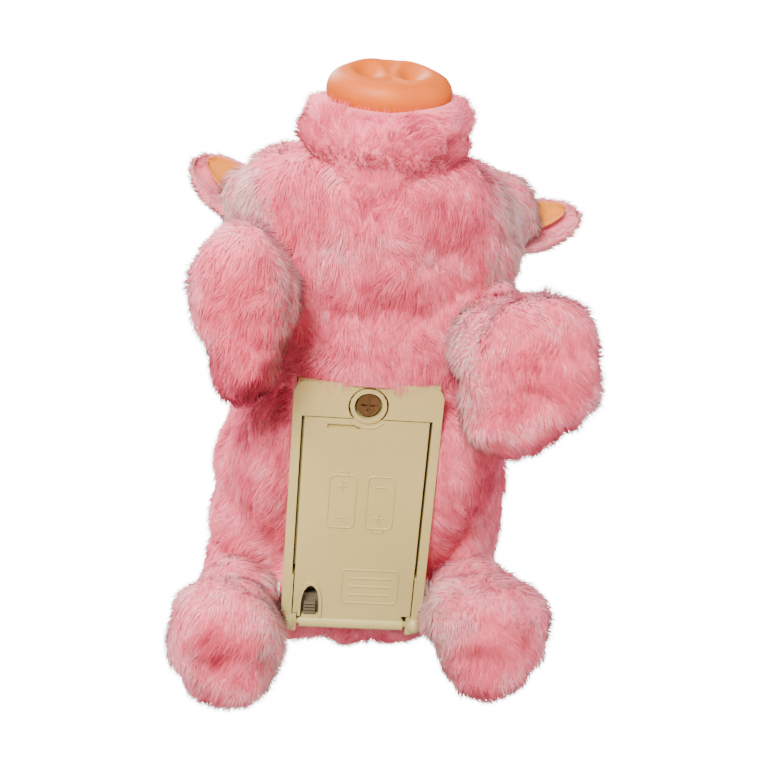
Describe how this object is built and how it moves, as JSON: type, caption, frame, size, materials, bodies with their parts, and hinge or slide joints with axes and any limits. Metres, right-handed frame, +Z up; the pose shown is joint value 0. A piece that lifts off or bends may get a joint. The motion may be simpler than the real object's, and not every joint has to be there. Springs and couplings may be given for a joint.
{
  "type": "walking plush pig",
  "caption": "Battery walking plush piglet with a belly plate, a hinged battery door, cranked legs, a moving snout and a wagging tail.",
  "frame": {"origin": "on the floor, under the middle of the whole piglet's box", "axes": "+Z up, the piglet faces -Y with its length along Y, +X is its own left side"},
  "size_m": [0.1349, 0.1943, 0.1045],
  "materials": {
    "plush": "short pile plush",
    "peach": "felt lining",
    "vinyl": "soft vinyl",
    "cream_abs": "moulded ABS",
    "acetal": "moulded acetal",
    "black_acrylic": "polished",
    "steel": "plated",
    "nickel": "nickel-plated spring steel",
    "cell_wrap": "plain printed wrap",
    "board": "solder resist",
    "dark": "moulded"
  },
  "bodies": {
    "body": {"battery_a": "cell_wrap", "battery_b": "cell_wrap", "belly_case": "cream_abs", "body_plush": "plush", "bridge_contact": "nickel", "case_screw_1": "steel", "case_screw_2": "steel", "case_screw_3": "steel", "case_screw_4": "steel", "circuit_board": "board", "first_gear_pin": "steel", "front_axle": "steel", "gear_frame": "acetal", "hind_axle": "steel", "left_ear": "plush", "left_ear_lining": "peach", "left_eye": "black_acrylic", "motor": "steel", "muzzle_plush": "plush", "negative_contact": "nickel", "positive_contact": "nickel", "right_ear": "plush", "right_ear_lining": "peach", "right_eye": "black_acrylic", "second_gear_pin": "steel", "speaker": "dark", "switch_body": "dark", "top_case": "acetal"},
    "right_front_leg": {"right_front_leg_plush": "plush", "right_front_leg_armature": "acetal"},
    "left_front_leg": {"left_front_leg_plush": "plush", "left_front_leg_armature": "acetal"},
    "right_hind_leg": {"right_hind_leg_plush": "plush", "right_hind_leg_armature": "acetal"},
    "left_hind_leg": {"left_hind_leg_plush": "plush", "left_hind_leg_armature": "acetal"},
    "battery_door": {"battery_door": "cream_abs"},
    "door_screw": {"battery_door_screw": "steel"},
    "switch_knob": {"switch_knob": "cream_abs"},
    "crankshaft": {"crankshaft": "acetal", "left_crank": "acetal", "right_crank": "acetal"},
    "second_gear": {"second_reduction_gear": "acetal"},
    "first_gear": {"first_reduction_gear": "acetal"},
    "motor_pinion": {"motor_pinion": "acetal"},
    "left_rod": {"left_side_rod": "acetal"},
    "right_rod": {"right_side_rod": "acetal"},
    "snout": {"snout_disc": "vinyl", "snout_carrier": "acetal"},
    "tail": {"tail_lever": "acetal", "tail_plush": "plush"}
  },
  "joints": [
    {"name": "right_front_leg_swing", "type": "hinge", "parent": "body", "child": "right_front_leg", "pos_m": [0, -0.0196, 0.048], "axis": [1, 0, 0], "range_deg": [0, 15]},
    {"name": "left_front_leg_swing", "type": "hinge", "parent": "body", "child": "left_front_leg", "pos_m": [0, -0.0196, 0.048], "axis": [1, 0, 0], "range_deg": [-15, 0]},
    {"name": "right_hind_leg_swing", "type": "hinge", "parent": "body", "child": "right_hind_leg", "pos_m": [0, 0.0719, 0.048], "axis": [1, 0, 0], "range_deg": [-9, 0]},
    {"name": "left_hind_leg_swing", "type": "hinge", "parent": "body", "child": "left_hind_leg", "pos_m": [0, 0.0719, 0.048], "axis": [1, 0, 0], "range_deg": [0, 9]},
    {"name": "battery_door_hinge", "type": "hinge", "parent": "body", "child": "battery_door", "pos_m": [0, 0.08, 0.0254], "axis": [1, 0, 0], "range_deg": [0, 110]},
    {"name": "door_screw_travel", "type": "slide", "parent": "body", "child": "door_screw", "axis": [0, 0, -1], "range_m": [0, 0.005]},
    {"name": "switch_travel", "type": "slide", "parent": "body", "child": "switch_knob", "axis": [0, -1, 0], "range_m": [0, 0.0038]},
    {"name": "crankshaft_spin", "type": "hinge", "parent": "body", "child": "crankshaft", "pos_m": [0, 0.0302, 0.058], "axis": [1, 0, 0], "continuous": true},
    {"name": "second_gear_spin", "type": "hinge", "parent": "body", "child": "second_gear", "pos_m": [0, 0.0428, 0.058], "axis": [1, 0, 0], "continuous": true},
    {"name": "first_gear_spin", "type": "hinge", "parent": "body", "child": "first_gear", "pos_m": [0, 0.0554, 0.058], "axis": [1, 0, 0], "continuous": true},
    {"name": "motor_pinion_spin", "type": "hinge", "parent": "body", "child": "motor_pinion", "pos_m": [0, 0.068, 0.058], "axis": [1, 0, 0], "continuous": true},
    {"name": "right_rod_travel", "type": "slide", "parent": "body", "child": "right_rod", "axis": [0, -1, 0], "range_m": [0, 0.00262]},
    {"name": "left_rod_travel", "type": "slide", "parent": "body", "child": "left_rod", "axis": [0, 1, 0], "range_m": [0, 0.00262]},
    {"name": "snout_travel", "type": "slide", "parent": "body", "child": "snout", "axis": [0, 0.9962, 0.0872], "range_m": [-0.002, 0.002]},
    {"name": "tail_wag", "type": "hinge", "parent": "body", "child": "tail", "pos_m": [0, 0.078, 0.0814], "axis": [0, 0, 1], "range_deg": [-16, 16]}
  ],
  "couplings": [
    {"joint": "left_front_leg_swing", "follows": "right_front_leg_swing", "ratio": -1},
    {"joint": "right_hind_leg_swing", "follows": "right_front_leg_swing", "ratio": -0.6},
    {"joint": "left_hind_leg_swing", "follows": "right_front_leg_swing", "ratio": 0.6},
    {"joint": "right_rod_travel", "follows": "right_front_leg_swing", "m_per_rad": 0.0099714},
    {"joint": "left_rod_travel", "follows": "right_front_leg_swing", "m_per_rad": 0.0099714},
    {"joint": "second_gear_spin", "follows": "crankshaft_spin", "ratio": -3},
    {"joint": "first_gear_spin", "follows": "crankshaft_spin", "ratio": 9},
    {"joint": "motor_pinion_spin", "follows": "crankshaft_spin", "ratio": -27},
    {"joint": "tail_wag", "follows": "snout_travel", "rad_per_m": 139.63}
  ]
}
